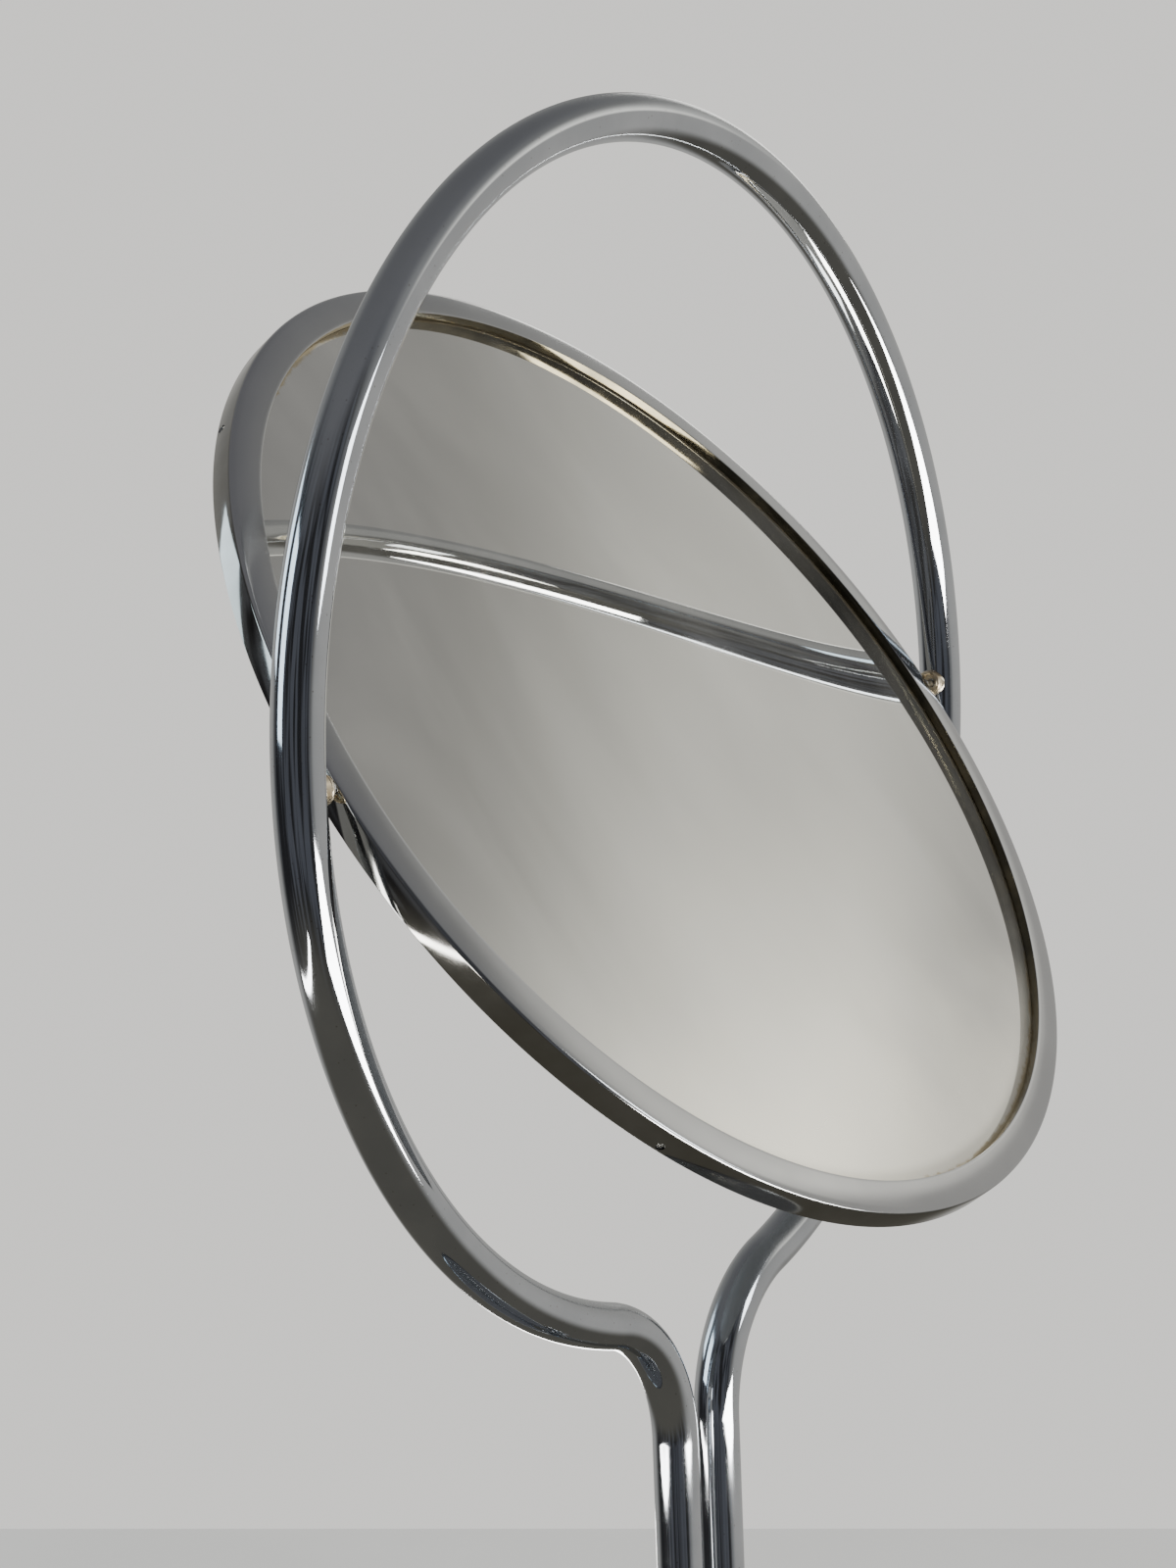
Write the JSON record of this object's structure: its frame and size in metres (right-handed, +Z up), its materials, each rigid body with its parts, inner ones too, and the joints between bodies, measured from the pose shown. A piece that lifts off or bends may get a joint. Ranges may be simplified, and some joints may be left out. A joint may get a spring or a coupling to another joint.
{
  "type": "extendable shaving mirror",
  "caption": "Round tilting mirror in a bent tube hoop whose two legs slide in sleeves on a weighted round base, held by a thumb screw.",
  "frame": {"origin": "centre of the underside of the base", "axes": "+Z up, X along the tilt axis from the left pivot to the right one, the mirror faces -Y"},
  "size_m": [0.3346, 0.224, 0.6223],
  "materials": {
    "chrome": "polished chrome plate, aged, with fine pits",
    "satin_steel": "dulled nickel-chrome plate, satin",
    "bright_steel": "turned bright steel",
    "brass": "bare turned brass, lightly tarnished",
    "mirror": "silvered glass, hazy with age",
    "felt": "pressed felt sheet",
    "painted_steel": "grey stove enamel",
    "cast_iron": "as cast, oiled",
    "rubber": "moulded black rubber",
    "nylon": "natural nylon"
  },
  "bodies": {
    "stand": {"foot_ring": "rubber", "base_weight": "cast_iron", "base_cover": "chrome", "base_boss": "chrome", "collar": "chrome", "clamp_wedge": "brass", "base_bolt_left": "bright_steel", "base_washer_left": "bright_steel", "sleeve_left": "chrome", "guide_bush_left": "brass", "boss_grub_left": "bright_steel", "collar_grub_left": "bright_steel", "base_bolt_right": "bright_steel", "base_washer_right": "bright_steel", "sleeve_right": "chrome", "guide_bush_right": "brass", "boss_grub_right": "bright_steel", "collar_grub_right": "bright_steel"},
    "hoop": {"hoop_tube": "chrome", "leg_plug_left": "nylon", "pivot_bush_left": "brass", "leg_plug_right": "nylon", "pivot_bush_right": "brass"},
    "mirror": {"rim_ring": "satin_steel", "mirror_glass": "mirror", "backing_pad": "felt", "back_plate": "painted_steel", "rim_screw_1": "bright_steel", "rim_screw_2": "bright_steel", "rim_screw_3": "bright_steel", "rim_screw_4": "bright_steel", "pivot_pin_left": "bright_steel", "pivot_pin_right": "bright_steel"},
    "clamp": {"clamp_stud": "bright_steel", "clamp_knob": "chrome"}
  },
  "joints": [
    {"name": "height_slide", "type": "slide", "parent": "stand", "child": "hoop", "axis": [0, 0, 1], "range_m": [-0.04, 0.1]},
    {"name": "mirror_tilt", "type": "hinge", "parent": "hoop", "child": "mirror", "pos_m": [0, 0, 0.454], "axis": [1, 0, 0], "continuous": true},
    {"name": "clamp_turn", "type": "hinge", "parent": "stand", "child": "clamp", "pos_m": [0, 0, 0.1855], "axis": [0, -1, 0], "range_deg": [-180, 180]}
  ]
}
